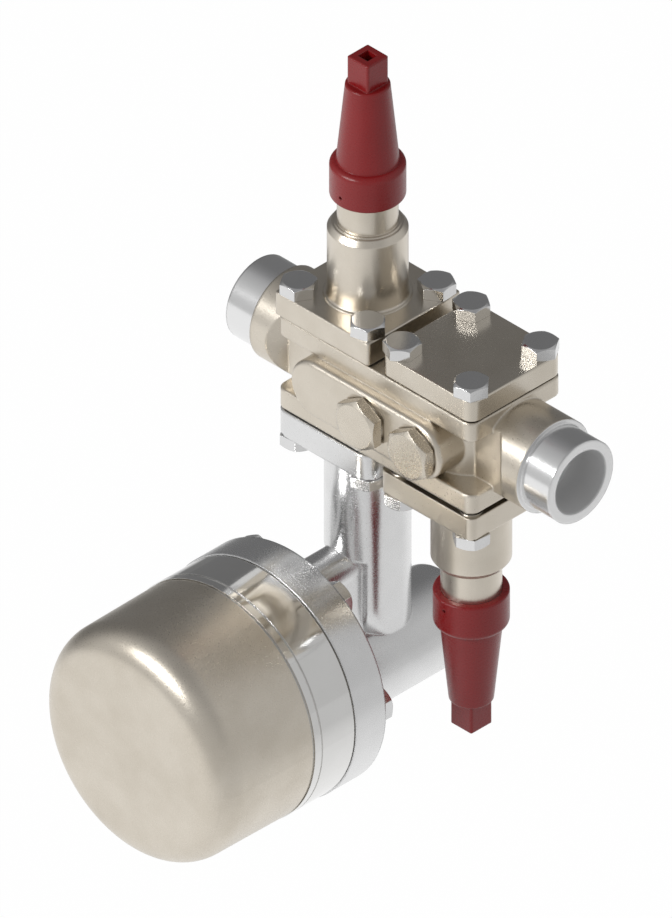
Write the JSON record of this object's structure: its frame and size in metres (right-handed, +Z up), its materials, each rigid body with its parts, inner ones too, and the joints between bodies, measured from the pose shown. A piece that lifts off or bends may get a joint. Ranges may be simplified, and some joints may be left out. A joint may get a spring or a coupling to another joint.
{
  "type": "refrigeration valve station",
  "caption": "In-line valve station with upright and inverted capped stop valves, check valve cover, side plugs and a float drain hanging on riser tubes.",
  "frame": {"origin": "centre of the inlet pipe end's face", "axes": "+X along the pipe towards the outlet, +Z up towards the upper seal cap, float chamber towards -Y"},
  "size_m": [0.21, 0.2061, 0.3778],
  "materials": {
    "cast_beige": "cast steel with a yellow zinc coating, satin",
    "coated_beige": "drawn steel cup with the same coating, fine satin",
    "cast_silver": "bright machined steel",
    "machined_steel": "turned steel",
    "bolt_steel": "stainless bolt steel",
    "spring_steel": "stainless steel",
    "red_plastic": "red moulded plastic, slight sheen",
    "gasket_sheet": "dark fibre sheet",
    "soft_seal": "white sealing plastic",
    "graphite": "packing rings"
  },
  "bodies": {
    "station": {"bracket_screws": "spring_steel", "check_valve_bolts": "bolt_steel", "check_valve_cover": "cast_beige", "check_valve_gasket": "gasket_sheet", "check_valve_insert": "machined_steel", "check_valve_spring": "spring_steel", "drain_bolts": "bolt_steel", "drain_casting": "cast_silver", "drain_gasket": "gasket_sheet", "drain_seat": "machined_steel", "float_chamber_bolts": "bolt_steel", "float_chamber_cover": "coated_beige", "float_chamber_gasket": "gasket_sheet", "float_chamber_ring": "cast_silver", "inlet_valve_bolts": "bolt_steel", "inlet_valve_bonnet": "cast_beige", "inlet_valve_gasket": "gasket_sheet", "inlet_valve_gland": "machined_steel", "inlet_valve_packing": "graphite", "lever_bracket": "machined_steel", "outlet_side_plug": "cast_beige", "outlet_side_plug_washer": "gasket_sheet", "outlet_valve_bolts": "bolt_steel", "outlet_valve_bonnet": "cast_beige", "outlet_valve_gasket": "gasket_sheet", "outlet_valve_gland": "machined_steel", "outlet_valve_packing": "graphite", "pivot_pin": "spring_steel", "service_plug": "cast_beige", "service_plug_washer": "gasket_sheet", "valve_housing": "cast_beige"},
    "inlet_cone": {"inlet_valve_cone": "machined_steel", "inlet_valve_cone_seal": "soft_seal"},
    "inlet_spindle": {"inlet_valve_spindle": "machined_steel"},
    "inlet_cap_washer": {"inlet_valve_cap_washer": "gasket_sheet"},
    "inlet_cap": {"inlet_valve_cap": "red_plastic"},
    "outlet_cone": {"outlet_valve_cone": "machined_steel", "outlet_valve_cone_seal": "soft_seal"},
    "outlet_spindle": {"outlet_valve_spindle": "machined_steel"},
    "outlet_cap_washer": {"outlet_valve_cap_washer": "gasket_sheet"},
    "outlet_cap": {"outlet_valve_cap": "red_plastic"},
    "check_disc": {"check_valve_disc": "soft_seal"},
    "float": {"float_ball": "spring_steel", "float_lever": "spring_steel"},
    "drain_slide": {"drain_slide": "spring_steel"}
  },
  "joints": [
    {"name": "inlet_valve_stroke", "type": "slide", "parent": "station", "child": "inlet_cone", "axis": [0, 0, -1], "range_m": [0, 0.008]},
    {"name": "inlet_valve_turn", "type": "hinge", "parent": "inlet_cone", "child": "inlet_spindle", "pos_m": [0.07125, 0, 0.09], "axis": [0, 0, -1], "range_deg": [0, 1440]},
    {"name": "inlet_cap_lift", "type": "slide", "parent": "station", "child": "inlet_cap_washer", "axis": [0, 0, 1], "range_m": [0, 0.015]},
    {"name": "inlet_cap_turn", "type": "hinge", "parent": "inlet_cap_washer", "child": "inlet_cap", "pos_m": [0.07125, 0, 0.13], "axis": [0, 0, 1], "range_deg": [0, 3600]},
    {"name": "outlet_valve_stroke", "type": "slide", "parent": "station", "child": "outlet_cone", "axis": [0, 0, 1], "range_m": [0, 0.008]},
    {"name": "outlet_valve_turn", "type": "hinge", "parent": "outlet_cone", "child": "outlet_spindle", "pos_m": [0.13875, 0, -0.09], "axis": [0, 0, 1], "range_deg": [0, 1440]},
    {"name": "outlet_cap_lift", "type": "slide", "parent": "station", "child": "outlet_cap_washer", "axis": [0, 0, -1], "range_m": [0, 0.015]},
    {"name": "outlet_cap_turn", "type": "hinge", "parent": "outlet_cap_washer", "child": "outlet_cap", "pos_m": [0.13875, 0, -0.13], "axis": [0, 0, -1], "range_deg": [0, 3600]},
    {"name": "check_lift", "type": "slide", "parent": "station", "child": "check_disc", "axis": [0, 0, 1], "range_m": [0, 0.003], "stiffness_N_per_m": 150, "springref_m": -0.0025, "deforming": ["check_valve_spring"]},
    {"name": "float_swing", "type": "hinge", "parent": "station", "child": "float", "pos_m": [0.07125, -0.09, -0.172], "axis": [-1, 0, 0], "range_deg": [0, 20]},
    {"name": "drain_slide_travel", "type": "slide", "parent": "station", "child": "drain_slide", "axis": [0, 0, -1], "range_m": [0, 0.0038]}
  ],
  "couplings": [
    {"joint": "inlet_valve_turn", "follows": "inlet_valve_stroke", "rad_per_m": 3141.5},
    {"joint": "inlet_cap_turn", "follows": "inlet_cap_lift", "rad_per_m": 4188.7},
    {"joint": "outlet_valve_turn", "follows": "outlet_valve_stroke", "rad_per_m": 3141.5},
    {"joint": "outlet_cap_turn", "follows": "outlet_cap_lift", "rad_per_m": 4188.7},
    {"joint": "float_swing", "follows": "drain_slide_travel", "rad_per_m": 91.8}
  ]
}
